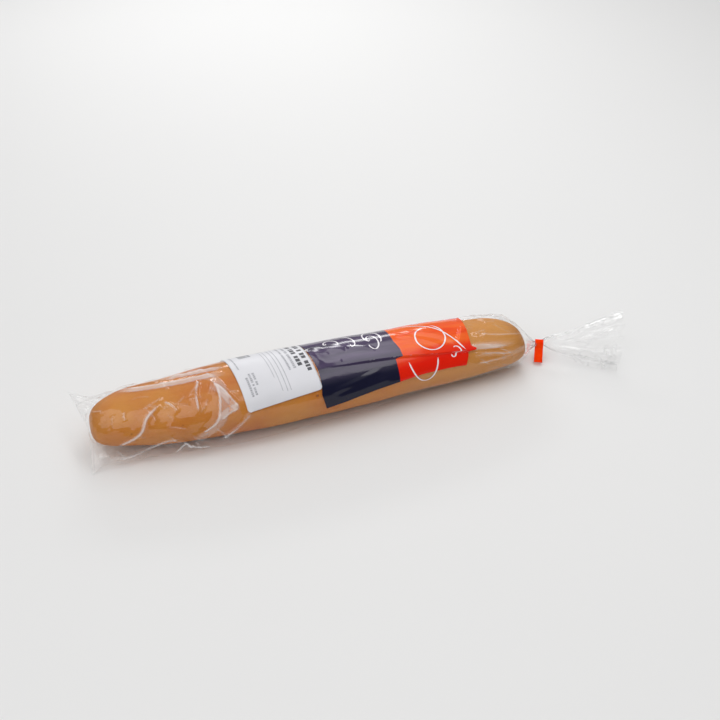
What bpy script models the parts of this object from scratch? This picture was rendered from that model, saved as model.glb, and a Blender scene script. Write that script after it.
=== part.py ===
"""A long crusty loaf packed in a clear film bag, with a paper shop label and a tape at the bag's neck.

Metres, +Z up. The loaf lies along X: the bag's welded end is towards -X, its tied neck towards +X.
The table is the plane z = 0, and the origin is under the middle of the whole pack.
Nodes: loaf, bag, label, neck_tape. Run with blender --background --python part.py.
"""

import math
from collections import namedtuple

import bmesh
import bpy
from mathutils import Matrix, Vector

# Driving dimensions of the loaf.
LOAF_LENGTH = 0.470
LOAF_WIDTH = 0.088
LOAF_HEIGHT = 0.068
LOAF_BLUNTNESS = 3.3  # exponent of the loaf's outline: 2 is an ellipse, more is blunter
SOLE_DEPTH = 0.0025  # how far the flat sole cuts into the round section
TIP_DROOP = 0.55  # share of the half height by which the tips come down to the table

# Driving dimensions of the film bag.
FILM_WALL = 0.0005
FIT_GAP = 0.0003
SIDE_SLACK = 0.004
TOP_SLACK = 0.0017
SOLE_PRESS = 0.0004  # how far the bag's rounded base is pressed flat by the table
SEAM_X = -0.250
SEAM_HALF_WIDTH = 0.056
SEAM_TILT = 16.0
WELD_SIDE_HALF_WIDTH = 0.043  # towards the weld the film stays wide while the loaf tapers
NECK_X = 0.257
NECK_HEIGHT = 0.0146
NECK_RADIUS = 0.0045
NECK_WALL = 0.0025  # the gathered film is a bundle with a narrow channel through it
TAIL_X = 0.340
TAIL_HALF_WIDTH = 0.031
TAIL_TILT = 40.0
BASE_SQUARENESS = 5.0  # exponent of the bag's lower half, which spreads on the table

# Label and neck tape.
LABEL_LENGTH = 0.080
LABEL_DROP = 0.100
LABEL_X = -0.0490
LABEL_TOP_ANGLE = -1.24  # radians from the ridge; the label starts well down the back
LABEL_THICKNESS = 0.0003
TAPE_WIDTH = 0.009
TAPE_THICKNESS = 0.0005
FLAG_LENGTH = 0.0225  # from the neck's centre to the flag's end
FLAG_ANGLE = math.radians(37)  # how steeply the flag points down

# Mesh fineness.
LOAF_SEGMENTS, LOAF_RINGS = 40, 40
BAG_SEGMENTS = 40
BODY_ROWS = 25

BASE = FILM_WALL + FIT_GAP  # height of the loaf's sole
HALF_LENGTH = LOAF_LENGTH / 2
SECTION_AXIS = (LOAF_HEIGHT + SOLE_DEPTH) / 2
LOAF_CENTRE_HEIGHT = BASE + LOAF_HEIGHT - SECTION_AXIS

# One cross-section of the bag: place, half axes, tilt in degrees, wall and lower half's exponent.
Row = namedtuple("Row", "x y z half_width half_height tilt wall squareness")


def clear_scene():
    for obj in list(bpy.data.objects):
        bpy.data.objects.remove(obj, do_unlink=True)


def signed_power(value, exponent):
    return math.copysign(abs(value) ** exponent, value)


def loaf_fullness(x):
    """Share of the full section that the loaf has at x: 1 in the middle, 0 at the tips."""
    return max(0.0, 1 - abs(x / HALF_LENGTH) ** LOAF_BLUNTNESS) ** (1 / LOAF_BLUNTNESS)


def loaf_axis_height(fullness):
    return LOAF_CENTRE_HEIGHT - TIP_DROOP * (1 - fullness) * SECTION_AXIS


def loaf_top(x):
    fullness = loaf_fullness(x)
    return loaf_axis_height(fullness) + fullness * SECTION_AXIS


def add_object(name, bm, material):
    """Finishes a mesh as one smooth-shaded object with its material."""
    mesh = bpy.data.meshes.new(name)
    bmesh.ops.recalc_face_normals(bm, faces=bm.faces)
    if bm.calc_volume(signed=True) < 0:
        bmesh.ops.reverse_faces(bm, faces=bm.faces)
    bm.to_mesh(mesh)
    bm.free()
    mesh.materials.append(material)
    mesh.shade_smooth()
    mesh.set_sharp_from_angle(angle=math.radians(50))
    obj = bpy.data.objects.new(name, mesh)
    bpy.context.collection.objects.link(obj)
    return obj


def plain_material(name, colour, roughness, alpha=1.0):
    material = bpy.data.materials.new(name)
    material.use_nodes = True
    shader = material.node_tree.nodes["Principled BSDF"]
    shader.inputs["Base Color"].default_value = (*colour, 1.0)
    shader.inputs["Roughness"].default_value = roughness
    shader.inputs["Metallic"].default_value = 0.0
    shader.inputs["Alpha"].default_value = alpha
    return material


def make_loaf():
    """One baked piece: a blunt-ended round bar with a flat sole and drooping tips."""
    bm = bmesh.new()
    bmesh.ops.create_uvsphere(bm, u_segments=LOAF_SEGMENTS, v_segments=LOAF_RINGS, radius=1.0)
    poles_to_x = Matrix.Rotation(math.radians(90), 3, "Y")
    bmesh.ops.rotate(bm, cent=(0, 0, 0), matrix=poles_to_x, verts=bm.verts)
    for vert in bm.verts:
        x, y, z = vert.co
        radius = math.hypot(y, z)
        fullness = radius ** (2 / LOAF_BLUNTNESS)
        across, up = (y / radius, z / radius) if radius > 1e-6 else (0.0, 0.0)
        vert.co = (
            HALF_LENGTH * signed_power(x, 2 / LOAF_BLUNTNESS),
            LOAF_WIDTH / 2 * fullness * across,
            max(BASE, loaf_axis_height(fullness) + SECTION_AXIS * fullness * up),
        )
    return add_object("loaf", bm, plain_material("crust", (0.56, 0.27, 0.09), 0.55))


def body_row(x):
    """The bag where it wraps the loaf: close over the top, pressed flat on the table."""
    half_height = (loaf_top(x) + TOP_SLACK + SOLE_PRESS) / 2
    half_width = LOAF_WIDTH / 2 * loaf_fullness(x) + SIDE_SLACK
    if x < 0:
        half_width = max(half_width, WELD_SIDE_HALF_WIDTH)
    centre = half_height - SOLE_PRESS
    return Row(x, 0, centre, half_width, half_height, 0, FILM_WALL, BASE_SQUARENESS)


def resting_row(x, y, half_width, half_height, tilt):
    """A flattened, tilted section of loose film whose lowest point is on the table."""
    slope = math.radians(tilt)
    z = math.hypot(half_width * math.sin(slope), half_height * math.cos(slope))
    return Row(x, y, z, half_width, half_height, tilt, FILM_WALL, 2)


def seam_rows():
    """The welded end: a thin tilted band, then a wedge that opens towards the loaf's tip."""
    y = 0.0125
    weld = [resting_row(x, y, SEAM_HALF_WIDTH, 0.001, SEAM_TILT) for x in (SEAM_X, SEAM_X + 0.007)]
    wedge = [
        resting_row(SEAM_X + 0.010, 0.9 * y, SEAM_HALF_WIDTH - 0.001, 0.004, 0.9 * SEAM_TILT),
        resting_row(SEAM_X + 0.016, 0.6 * y, SEAM_HALF_WIDTH - 0.006, 0.018, 0.5 * SEAM_TILT),
    ]
    return weld, wedge


def neck_and_tail_rows():
    """The film closes round the loaf's far tip, runs through the tied neck and flares out again."""
    shoulder = [
        Row(0.2310, 0, 0.0200, 0.0235, 0.0200, 0, FILM_WALL, 2),
        Row(0.2365, 0, 0.0166, 0.0155, 0.0145, 0, FILM_WALL, 2),
        Row(0.2440, 0, 0.0150, 0.0085, 0.0080, 0, 0.0015, 2),
    ]
    neck = [
        Row(NECK_X + dx, 0, NECK_HEIGHT, NECK_RADIUS, NECK_RADIUS, 0, NECK_WALL, 2)
        for dx in (-0.0055, -0.0020, 0.0020, 0.0055)
    ]
    tail = [
        resting_row(0.2665, -0.006, 0.0130, 0.0050, 0.9 * TAIL_TILT),
        resting_row(0.2740, -0.013, 0.0210, 0.0065, TAIL_TILT),
        resting_row(0.2900, -0.022, 0.0255, 0.0075, TAIL_TILT),
        resting_row(0.3100, -0.030, 0.0290, 0.0075, TAIL_TILT),
        resting_row(TAIL_X, -0.036, TAIL_HALF_WIDTH, 0.0065, TAIL_TILT),
    ]
    return shoulder + neck + tail


def bag_rows():
    """All rows from the weld to the open mouth, and the number of rows in the solid weld."""
    weld, wedge = seam_rows()
    reach = 0.226
    sweep = [math.pi * (i / (BODY_ROWS - 1) - 0.5) for i in range(BODY_ROWS)]
    body = [body_row(reach * math.sin(angle)) for angle in sweep]
    return weld + wedge + body + neck_and_tail_rows(), len(weld)


def row_point(row, angle, inset=0.0):
    """A point of the section, with angle 0 at the ridge and growing towards the front side."""
    exponent = 2 / row.squareness if math.cos(angle) < 0 else 1.0
    across = -(row.half_width - inset) * signed_power(math.sin(angle), exponent)
    up = (row.half_height - inset) * signed_power(math.cos(angle), exponent)
    slope = math.radians(row.tilt)
    y = row.y + across * math.cos(slope) - up * math.sin(slope)
    z = row.z + across * math.sin(slope) + up * math.cos(slope)
    return Vector((row.x, y, max(z, min(inset, FILM_WALL))))


def make_skin(rings):
    """A tube through (row, inset) rings as a mesh, capped at its start and open at its end."""
    bm = bmesh.new()
    bmesh.ops.create_cone(
        bm, cap_ends=True, segments=BAG_SEGMENTS, radius1=1.0, radius2=1.0, depth=1.0
    )
    end_cap = max((f for f in bm.faces if len(f.verts) == BAG_SEGMENTS), key=lambda f: f.normal.z)
    bmesh.ops.delete(bm, geom=[end_cap], context="FACES_ONLY")
    lengthways = [edge for edge in bm.edges if abs(edge.verts[0].co.z - edge.verts[1].co.z) > 0.5]
    bmesh.ops.subdivide_edges(bm, edges=lengthways, cuts=len(rings) - 2, use_grid_fill=True)
    for vert in bm.verts:
        row, inset = rings[round((vert.co.z + 0.5) * (len(rings) - 1))]
        vert.co = row_point(row, math.atan2(vert.co.x, vert.co.y), inset)
    mesh = bpy.data.meshes.new("skin")
    bm.to_mesh(mesh)
    bm.free()
    return mesh


def make_bag(rows, weld_rows):
    """Film bag: an outer and an inner skin, closed at the weld and meeting round the open mouth."""
    inner = [(row, row.wall) for row in rows[weld_rows:]]
    outer = [(row, 0.0) for row in rows] + inner[-1:]
    bm = bmesh.new()
    for rings in (outer, inner):
        skin = make_skin(rings)
        bm.from_mesh(skin)
        bpy.data.meshes.remove(skin)
    bmesh.ops.remove_doubles(bm, verts=bm.verts, dist=1e-6)
    return add_object("bag", bm, plain_material("clear_film", (0.90, 0.90, 0.90), 0.15, alpha=0.3))


def surface_point(rows, x, angle, lift):
    """A point on the outside of the bag at x, lifted clear of the film."""
    after = next(i for i, row in enumerate(rows) if row.x > x)
    low, high = rows[after - 1], rows[after]
    share = (x - low.x) / (high.x - low.x)
    return row_point(low, angle, -lift).lerp(row_point(high, angle, -lift), share)


def make_label(rows):
    """A paper label that wraps over the ridge, from the back of the bag down its front."""
    bm = bmesh.new()
    bmesh.ops.create_grid(bm, x_segments=14, y_segments=20, size=0.5)
    raised = bmesh.ops.extrude_face_region(bm, geom=bm.faces[:])["geom"]
    upper = [item for item in raised if isinstance(item, bmesh.types.BMVert)]
    bmesh.ops.translate(bm, vec=(0, 0, 1), verts=upper)
    arc_per_radian = (LOAF_WIDTH / 2 + SIDE_SLACK + LOAF_HEIGHT / 2) / 2
    for vert in bm.verts:
        along, down, layer = vert.co
        angle = LABEL_TOP_ANGLE + (down + 0.5) * LABEL_DROP / arc_per_radian
        lift = FIT_GAP + layer * LABEL_THICKNESS
        vert.co = surface_point(rows, LABEL_X + along * LABEL_LENGTH, angle, lift)
    return add_object("label", bm, plain_material("label_paper", (0.85, 0.85, 0.84), 0.6))


def make_neck_tape():
    """A strip of tape closed round the neck, its two ends stuck together as a flag."""
    inner = NECK_RADIUS + FIT_GAP
    outer = inner + TAPE_THICKNESS
    bm = bmesh.new()
    loops = []
    for radius in (inner, outer):
        for side in (-0.5, 0.5):
            ring = bmesh.ops.create_circle(bm, segments=BAG_SEGMENTS, radius=radius)["verts"]
            bmesh.ops.rotate(bm, cent=(0, 0, 0), matrix=Matrix.Rotation(math.radians(90), 3, "Y"), verts=ring)
            bmesh.ops.translate(bm, vec=(side * TAPE_WIDTH, 0, 0), verts=ring)
            loops.append(list({edge for vert in ring for edge in vert.link_edges}))
    for first, second in ((0, 1), (1, 3), (3, 2), (2, 0)):
        bmesh.ops.bridge_loops(bm, edges=loops[first] + loops[second])
    tape = add_object("neck_tape", bm, plain_material("tape_film", (0.72, 0.10, 0.03), 0.4))
    flag_start = inner + TAPE_THICKNESS / 2
    bm = bmesh.new()
    bmesh.ops.create_cube(bm, size=1.0)
    size = (TAPE_WIDTH, FLAG_LENGTH - flag_start, 2 * TAPE_THICKNESS)
    bmesh.ops.scale(bm, vec=size, verts=bm.verts)
    bmesh.ops.translate(bm, vec=(0, -(FLAG_LENGTH + flag_start) / 2, 0), verts=bm.verts)
    bmesh.ops.rotate(bm, cent=(0, 0, 0), matrix=Matrix.Rotation(FLAG_ANGLE, 3, "X"), verts=bm.verts)
    flag = add_object("flag_shape", bm, tape.data.materials[0])
    flag.hide_render = True
    flag.display_type = "WIRE"
    joined = tape.modifiers.new("flag", "BOOLEAN")
    joined.operation = "UNION"
    joined.object = flag
    place = Matrix.Translation((NECK_X, 0, NECK_HEIGHT))
    tape.data.transform(place)
    flag.data.transform(place)
    return [tape, flag]


def centre_on_origin(objects, guide):
    """Moves everything sideways so that the guide's bounding box stands over the origin."""
    middle = [
        (min(v.co[axis] for v in guide.data.vertices) + max(v.co[axis] for v in guide.data.vertices)) / 2
        for axis in (0, 1)
    ]
    for obj in objects:
        obj.data.transform(Matrix.Translation((-middle[0], -middle[1], 0)))


def main():
    clear_scene()
    rows, weld_rows = bag_rows()
    bag = make_bag(rows, weld_rows)
    pieces = [make_loaf(), bag, make_label(rows), *make_neck_tape()]
    centre_on_origin(pieces, guide=bag)


main()
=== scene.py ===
"""A baguette in a printed clear film bag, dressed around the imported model.

The loaf is one baked piece. The bag is a tube of film that is laid over the loaf by a cloth
simulation: welded flat at one end, gathered and taped at the other. The print on the film,
the shop label and the ornament all follow the settled film's surface. Lengths are in metres.
"""

import logging
import math
import random
from collections.abc import Callable, Iterable, Sequence
from dataclasses import dataclass, field
from enum import Enum

import bmesh
import bpy
import numpy as np
from mathutils import Matrix, Vector
from mathutils.geometry import convex_hull_2d


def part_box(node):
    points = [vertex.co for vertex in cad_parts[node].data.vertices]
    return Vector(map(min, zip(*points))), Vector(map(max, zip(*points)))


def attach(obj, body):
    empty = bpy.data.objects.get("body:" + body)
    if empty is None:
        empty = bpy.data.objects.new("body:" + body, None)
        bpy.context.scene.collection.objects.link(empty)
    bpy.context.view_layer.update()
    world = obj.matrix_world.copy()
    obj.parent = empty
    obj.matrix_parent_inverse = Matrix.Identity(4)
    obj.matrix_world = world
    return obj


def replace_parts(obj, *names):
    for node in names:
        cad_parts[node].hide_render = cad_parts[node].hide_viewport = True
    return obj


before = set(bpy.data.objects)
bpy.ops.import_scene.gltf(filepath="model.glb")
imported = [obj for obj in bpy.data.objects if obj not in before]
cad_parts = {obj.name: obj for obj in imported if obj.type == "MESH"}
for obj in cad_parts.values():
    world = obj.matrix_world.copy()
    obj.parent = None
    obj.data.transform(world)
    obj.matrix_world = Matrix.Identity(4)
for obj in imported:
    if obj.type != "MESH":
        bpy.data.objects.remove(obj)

log = logging.getLogger("bread_bag")

Points = np.ndarray
Placer = Callable[[Points, Points], Points]
Colour = tuple[float, float, float]
Knots = tuple[tuple[float, float], ...]
Mark = tuple[float, float, float, float]
Row = tuple[float, float, float, float, int]
SOLE_GAP = 0.0004  # the film's height where the loaf presses it on the table


# ---------------------------------------------------------------- small helpers


def ease(share: Points) -> Points:
    """A share from 0 to 1, clamped and eased at both ends."""
    share = np.clip(share, 0.0, 1.0)
    return share * share * (3 - 2 * share)


def through(knots: Knots, at: Points) -> Points:
    """The value at a place on the straight lines through (place, value) knots."""
    return np.interp(at, *zip(*knots))


def bell(value: Points, centre: float, spread: float) -> Points:
    """A bell curve of height 1 at its centre."""
    return np.exp(-(((value - centre) / spread) ** 2))


def mesh_points(mesh: bpy.types.Mesh) -> Points:
    """The mesh's vertices as rows of x, y and z.

    Args:
        mesh: the mesh to read.

    Returns:
        One row per vertex.
    """
    flat = np.empty(len(mesh.vertices) * 3, np.float32)
    mesh.vertices.foreach_get("co", flat)
    return flat.reshape(-1, 3).astype(float)


def set_mesh_points(mesh: bpy.types.Mesh, points: Points) -> None:
    """Moves the mesh's vertices to the given points."""
    mesh.vertices.foreach_set("co", points.astype(np.float32).ravel())
    mesh.update()


def finished_mesh(name: str, bm: bmesh.types.BMesh) -> bpy.types.Mesh:
    """Turns a bmesh into a smooth-shaded mesh and frees it.

    Args:
        name: the mesh's name.
        bm: the shape, which is freed.

    Returns:
        The mesh.
    """
    mesh = bpy.data.meshes.new(name)
    bm.to_mesh(mesh)
    bm.free()
    mesh.shade_smooth()
    return mesh


def add_object(name: str, mesh: bpy.types.Mesh, material: bpy.types.Material) -> bpy.types.Object:
    """Links a mesh into the scene as one object with its material.

    Args:
        name: the object's name.
        mesh: its mesh.
        material: its one material.

    Returns:
        The linked object.
    """
    mesh.materials.clear()
    mesh.materials.append(material)
    obj = bpy.data.objects.new(name, mesh)
    bpy.context.scene.collection.objects.link(obj)
    return obj


def grid_mesh(name: str, columns: int, rows: int, place: Placer) -> bpy.types.Mesh:
    """A rectangular sheet of quads put in place by a function.

    Args:
        name: the mesh's name.
        columns: faces along the first direction.
        rows: faces along the second direction.
        place: takes two arrays of shares from 0 to 1 and gives the points.

    Returns:
        The mesh, smooth-shaded.
    """
    bm = bmesh.new()
    bmesh.ops.create_grid(bm, x_segments=columns, y_segments=rows, size=0.5)
    mesh = finished_mesh(name, bm)
    shares = mesh_points(mesh) + 0.5
    set_mesh_points(mesh, place(shares[:, 0], shares[:, 1]))
    return mesh


def tube_mesh(name: str, columns: int, rows: int) -> tuple[bpy.types.Mesh, Points, Points]:
    """An open tube of quads, not yet placed.

    Args:
        name: the mesh's name.
        columns: faces round the tube.
        rows: faces along the tube.

    Returns:
        The mesh, and each vertex's column and row as whole numbers.
    """
    bm = bmesh.new()
    bmesh.ops.create_cone(bm, cap_ends=False, segments=columns, radius1=1.0, radius2=1.0, depth=1.0)
    lengthways = [edge for edge in bm.edges if abs(edge.verts[0].co.z - edge.verts[1].co.z) > 0.5]
    bmesh.ops.subdivide_edges(bm, edges=lengthways, cuts=rows - 1, use_grid_fill=True)
    bmesh.ops.reverse_faces(bm, faces=bm.faces)
    mesh = finished_mesh(name, bm)
    points = mesh_points(mesh)
    turn = np.arctan2(points[:, 0], points[:, 1]) / (2 * np.pi)
    column = np.rint(turn * columns).astype(int) % columns
    row = np.rint((points[:, 2] + 0.5) * rows).astype(int)
    return mesh, column, row


def face_outward(mesh: bpy.types.Mesh, centre: Vector) -> None:
    """Flips a closed or tube-like mesh if most of its faces look at its centre.

    Args:
        mesh: the mesh to turn.
        centre: a point inside it.
    """
    outward = sum((p.center - centre).dot(p.normal) * p.area for p in mesh.polygons)
    if outward < 0:
        mesh.flip_normals()


# ---------------------------------------------------------------- node wiring and finishes


class Wiring:
    """A material's node tree while it is being wired up."""

    def __init__(self, name: str) -> None:
        """Starts a material with an output node and object coordinates.

        Args:
            name: the material's name.
        """
        self.material = bpy.data.materials.new(name)
        self.material.use_nodes = True
        self.tree = self.material.node_tree
        self.tree.nodes.clear()
        self.output = self.add("OutputMaterial")
        self.place = self.add("TexCoord").outputs["Object"]

    def add(self, kind: str, inputs: dict | None = None, **settings: object) -> bpy.types.Node:
        """Adds a node and fills its sockets.

        Args:
            kind: the node's type without its ShaderNode prefix.
            inputs: values or output sockets by socket name or number.
            **settings: the node's own properties.

        Returns:
            The new node.
        """
        node = self.tree.nodes.new("ShaderNode" + kind)
        for key, value in settings.items():
            setattr(node, key, value)
        for socket, value in (inputs or {}).items():
            if isinstance(value, bpy.types.NodeSocket):
                self.tree.links.new(value, node.inputs[socket])
            else:
                node.inputs[socket].default_value = value
        return node

    def stretched(self, scale: Sequence[float]) -> bpy.types.NodeSocket:
        """Object coordinates scaled differently along each axis."""
        return self.add("Mapping", {"Vector": self.place, "Scale": scale}).outputs[0]

    def noise(
        self, scale: float, detail: float = 4.0, roughness: float = 0.55, vector: object = None
    ) -> bpy.types.NodeSocket:
        """A noise pattern with about that many lumps per metre."""
        values = {"Scale": scale, "Detail": detail, "Roughness": roughness, "Vector": vector or self.place}
        return self.add("TexNoise", values).outputs["Fac"]

    def ramp(self, factor: bpy.types.NodeSocket, *stops: tuple[float, float]) -> bpy.types.NodeSocket:
        """A grey ramp through (position, value) stops.

        Args:
            factor: the pattern to read.
            stops: positions and their grey values.

        Returns:
            The ramp's colour.
        """
        node = self.add("ValToRGB", {"Fac": factor})
        elements = node.color_ramp.elements
        while len(elements) < len(stops):
            elements.new(0.5)
        for element, (position, value) in zip(elements, stops):
            element.position = position
            element.color = (value, value, value, 1)
        return node.outputs["Color"]

    def mix(self, factor: object, first: object, second: object) -> bpy.types.NodeSocket:
        """Blends two colours; each may be a socket or a plain colour.

        Args:
            factor: the share of the second colour.
            first: the colour at 0.
            second: the colour at 1.

        Returns:
            The blended colour.
        """
        colours = [c if isinstance(c, bpy.types.NodeSocket) else (*c, 1.0) for c in (first, second)]
        node = self.add("MixRGB", {"Fac": factor, "Color1": colours[0], "Color2": colours[1]})
        return node.outputs["Color"]

    def maths(self, operation: str, first: object, second: object) -> bpy.types.NodeSocket:
        """One sum on two values, each a socket or a number."""
        return self.add("Math", {0: first, 1: second}, operation=operation).outputs[0]

    def bump(
        self, height: bpy.types.NodeSocket, strength: float, distance: float, normal: object = None
    ) -> bpy.types.NodeSocket:
        """A bump from a height pattern, laid over an earlier bump if one is given.

        Args:
            height: the height pattern.
            strength: how strongly it counts.
            distance: its depth in metres.
            normal: an earlier bump.

        Returns:
            The new normal.
        """
        values = {"Height": height, "Strength": strength, "Distance": distance}
        if normal is not None:
            values["Normal"] = normal
        return self.add("Bump", values).outputs["Normal"]

    def coordinate(self, axis: str) -> bpy.types.NodeSocket:
        """One of the object coordinates as a number."""
        return self.add("SeparateXYZ", {"Vector": self.place}).outputs[axis]

    def finish(self, shader: bpy.types.Node) -> bpy.types.Material:
        """Joins the shader to the output and gives the material."""
        self.tree.links.new(shader.outputs[0], self.output.inputs["Surface"])
        return self.material


@dataclass(frozen=True)
class CrustFinish:
    """Baked crust: golden and mottled, darker at the tips, with painted reflection paling it towards the neck
    end and painted shade in its pits.

    The length and the middle are the loaf's own, along x.
    """

    length: float
    middle_x: float
    gold: Colour = (0.66, 0.255, 0.024)
    deep: Colour = (0.58, 0.155, 0.010)
    pale: Colour = (0.72, 0.345, 0.075)
    tip: Colour = (0.34, 0.085, 0.014)
    pit_shade_and_speck: Colour = (0.22, 0.06, 0.012)
    roughness: float = 0.62

    def material(self) -> bpy.types.Material:
        """Builds the crust's nodes.

        Returns:
            The material.
        """
        w = Wiring("crust_finish")
        patches = w.ramp(w.noise(16, 3), (0.36, 0.0), (0.66, 1.0))
        colour = w.mix(patches, self.gold, self.deep)
        streaks = w.ramp(w.noise(1, 5, 0.6, w.stretched((14, 60, 60))), (0.45, 0.0), (0.75, 0.45))
        colour = w.mix(streaks, colour, self.pale)
        from_middle = w.maths("SUBTRACT", w.coordinate("X"), self.middle_x)
        far = w.maths("DIVIDE", from_middle, self.length / 2)
        # Painted reflection: towards the neck end the crust is mixed paler, in place of the film's reflection
        # and the light there.
        painted_reflection_ramp = w.ramp(w.maths("ADD", w.maths("MULTIPLY", far, 0.5), 0.5), (0.50, 0.0), (0.86, 0.62))
        colour = w.mix(painted_reflection_ramp, colour, self.pale)
        near_tip = w.ramp(w.maths("ABSOLUTE", far, 0), (0.90, 0.0), (1.0, 0.75))
        tips = w.maths("MULTIPLY", near_tip, w.noise(70, 4))
        colour = w.mix(tips, colour, self.tip)
        # Painted shade: the pits that the bump below dents in are also painted dark, as shade in the
        # recesses; the fine speckle is the crust's own tone.
        cells = w.add("TexVoronoi", {"Vector": w.place, "Scale": 62.0})
        pits = w.ramp(cells.outputs["Distance"], (0.050, 1.0), (0.095, 0.0))
        few = w.ramp(w.noise(34, 1), (0.56, 0.0), (0.60, 1.0))
        pits = w.maths("MULTIPLY", pits, few)
        colour = w.mix(w.maths("MULTIPLY", pits, 0.8), colour, self.pit_shade_and_speck)
        grain = w.noise(900, 5, 0.7)
        speckle = w.ramp(grain, (0.40, 0.16), (0.62, 0.0))
        colour = w.mix(speckle, colour, self.pit_shade_and_speck)
        normal = w.bump(w.noise(240, 5, 0.65), 0.45, 0.0012)
        normal = w.bump(grain, 0.35, 0.0003, normal)
        normal = w.bump(w.maths("SUBTRACT", 1.0, pits), 0.8, 0.0012, normal)
        values = {"Base Color": colour, "Roughness": self.roughness, "Normal": normal}
        return w.finish(w.add("BsdfPrincipled", values | {"Specular IOR Level": 0.2}))


@dataclass(frozen=True)
class ClearFilmFinish:
    """Thin clear film: almost invisible straight on, mirror-like at a glance, milky where welded or gathered,
    and painted white along its creases as painted highlight.
    """

    straight: float = 0.047
    glancing: float = 1.0
    roughness: float = 0.075
    haze_and_glint: Colour = (0.92, 0.92, 0.93)

    def material(self) -> bpy.types.Material:
        """Builds the film's nodes; the milkiness and the painted crease highlight follow the mesh's own
        haze_and_glint attribute.

        Returns:
            The material.
        """
        w = Wiring("clear_film_finish")
        crinkle = w.noise(95, 3, 0.5)
        normal = w.bump(crinkle, 0.20, 0.0012)
        clear = w.add("BsdfTransparent", {"Color": (0.985, 0.985, 0.985, 1)})
        gloss = w.add("BsdfGlossy", {"Color": (1, 1, 1, 1), "Roughness": self.roughness, "Normal": normal})
        facing = w.add("LayerWeight", {"Blend": 0.5, "Normal": normal}).outputs["Facing"]
        glance = w.maths("MULTIPLY", w.maths("POWER", facing, 5.0), self.glancing - self.straight)
        share = w.maths("ADD", glance, self.straight)
        shine = w.add("MixShader", {0: share, 1: clear.outputs[0], 2: gloss.outputs[0]})
        milk_and_glint = w.add("BsdfDiffuse", {"Color": (*self.haze_and_glint, 1)})
        amount = w.add("Attribute", attribute_name="haze_and_glint").outputs["Fac"]
        film = w.add("MixShader", {0: amount, 1: shine.outputs[0], 2: milk_and_glint.outputs[0]})
        return w.finish(film)


@dataclass(frozen=True)
class InkFinish:
    """Opaque ink on glossy film: painted sheen in patches where it is high on the loaf, with long faint
    wrinkles.
    """

    name: str
    colour: Colour
    painted_sheen: Colour
    painted_sheen_share: float
    shine: float = 0.30
    roughness: float = 0.13

    def material(self) -> bpy.types.Material:
        """Builds the ink's nodes.

        Returns:
            The material.
        """
        w = Wiring(self.name)
        long_way = w.stretched((9, 60, 60))
        # Painted sheen: high on the loaf the ink is mixed in patches towards a paler sheen colour, in place
        # of the light the film reflects there.
        sheen_patches = w.ramp(w.noise(1, 3, 0.5, long_way), (0.38, 0.25), (0.64, self.painted_sheen_share))
        upper = w.ramp(w.coordinate("Z"), (0.053, 0.03), (0.061, 1.0))
        colour = w.mix(w.maths("MULTIPLY", sheen_patches, upper), self.colour, self.painted_sheen)
        wrinkle = w.bump(w.noise(1, 4, 0.55, w.stretched((22, 90, 90))), 0.22, 0.0016)
        wrinkle = w.bump(w.noise(420, 2), 0.06, 0.0004, wrinkle)
        values = {"Base Color": colour, "Roughness": self.roughness, "Normal": wrinkle}
        values |= {"Specular IOR Level": self.shine, "Coat Weight": self.shine, "Coat Roughness": 0.07}
        return w.finish(w.add("BsdfPrincipled", values))


class PrintInk(Enum):
    """The inks on the bag."""

    # The second colour of each ink is its painted sheen.
    NAVY = InkFinish("navy_ink", (0.005, 0.006, 0.024), (0.105, 0.070, 0.155), 0.9, 0.24)
    RED = InkFinish("red_ink", (0.80, 0.010, 0.003), (1.00, 0.230, 0.028), 0.9, 0.14)
    WHITE = InkFinish("white_ink", (0.86, 0.83, 0.88), (0.90, 0.86, 0.90), 0.4)


@dataclass(frozen=True)
class PaperFinish:
    """Smooth white label paper with a faint fibre."""

    colour: Colour = (0.745, 0.745, 0.785)
    roughness: float = 0.42

    def material(self) -> bpy.types.Material:
        """Builds the paper's nodes.

        Returns:
            The material.
        """
        w = Wiring("label_paper_finish")
        fibre = w.noise(1400, 4, 0.7)
        shade = tuple(0.955 * c for c in self.colour)
        colour = w.mix(w.ramp(w.noise(30, 3), (0.35, 0.0), (0.7, 1.0)), self.colour, shade)
        normal = w.bump(fibre, 0.12, 0.0002)
        values = {"Base Color": colour, "Roughness": self.roughness, "Normal": normal}
        return w.finish(w.add("BsdfPrincipled", values))


@dataclass(frozen=True)
class LabelInkFinish:
    """Thermal print: flat grey to black, slightly uneven."""

    name: str
    colour: Colour

    def material(self) -> bpy.types.Material:
        """Builds the print's nodes.

        Returns:
            The material.
        """
        w = Wiring(self.name)
        lighter = tuple(min(1.0, c * 1.7 + 0.02) for c in self.colour)
        colour = w.mix(w.ramp(w.noise(700, 3), (0.35, 0.0), (0.75, 1.0)), self.colour, lighter)
        return w.finish(w.add("BsdfPrincipled", {"Base Color": colour, "Roughness": 0.55}))


@dataclass(frozen=True)
class TapeFinish:
    """Satin coloured adhesive tape with faint stretch lines."""

    colour: Colour = (1.0, 0.036, 0.001)
    lighter: Colour = (1.0, 0.060, 0.003)
    roughness: float = 0.50

    def material(self) -> bpy.types.Material:
        """Builds the tape's nodes.

        Returns:
            The material.
        """
        w = Wiring("tape_film_finish")
        lines = w.noise(1, 3, 0.5, w.stretched((1500, 60, 60)))
        colour = w.mix(w.ramp(w.noise(160, 3), (0.4, 0.0), (0.7, 1.0)), self.colour, self.lighter)
        normal = w.bump(lines, 0.15, 0.0002)
        values = {"Base Color": colour, "Roughness": self.roughness, "Normal": normal}
        return w.finish(w.add("BsdfPrincipled", values | {"Specular IOR Level": 0.02}))


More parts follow.
